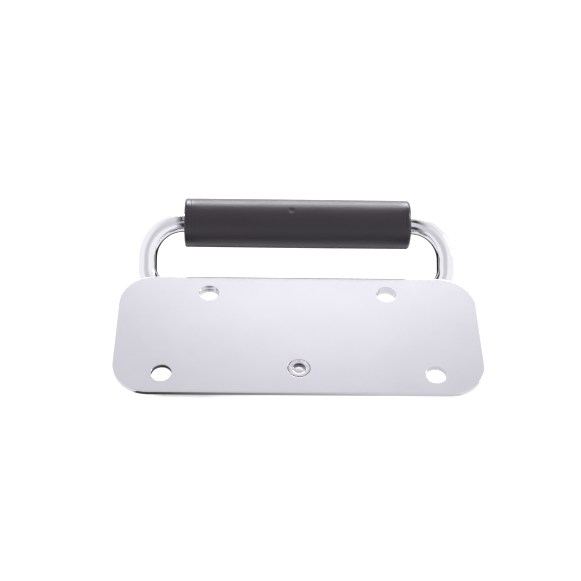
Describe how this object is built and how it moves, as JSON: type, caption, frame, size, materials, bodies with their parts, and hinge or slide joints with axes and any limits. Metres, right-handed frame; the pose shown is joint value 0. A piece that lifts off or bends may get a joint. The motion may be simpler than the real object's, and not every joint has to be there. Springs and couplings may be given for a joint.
{
  "type": "folding case handle",
  "caption": "Flat rounded rectangular screw-on plate with a sprung U-shaped rod bail hinged at one edge and a straight cylindrical grip sleeve, for lifting a case or box.",
  "frame": {"origin": "centre of the flat mounting face", "axes": "+X along the plate's width and the grip, +Y in the plate's plane towards the edge that carries the hinge, +Z out of the mounting face towards the panel it is screwed to"},
  "size_m": [0.12, 0.0771, 0.0275],
  "materials": {
    "plate_chrome": "chrome plated sheet steel, satin-bright face, edges slightly burnished",
    "saddle_chrome": "chrome plated pressed sheet, duller than the plate",
    "rivet_steel": "nickel plated steel, burnished where it was rolled over",
    "bail_chrome": "bright chrome plated round bar",
    "grip_pvc": "black moulded PVC, fine grain, soft sheen",
    "spring_steel": "bright drawn spring wire"
  },
  "bodies": {
    "base": {"mounting_plate": "plate_chrome", "hinge_saddle": "saddle_chrome", "centre_rivet": "rivet_steel", "return_spring_left": "spring_steel", "return_spring_right": "spring_steel"},
    "bail": {"bail": "bail_chrome", "grip_sleeve": "grip_pvc"}
  },
  "joints": [
    {"name": "bail_hinge", "type": "hinge", "parent": "base", "child": "bail", "pos_m": [0, 0.0242, -0.0065], "axis": [1, 0, 0], "range_deg": [-126, 0], "stiffness_Nm_per_rad": 0.04, "springref_deg": 45.84, "deforming": ["return_spring_left", "return_spring_right"]}
  ]
}
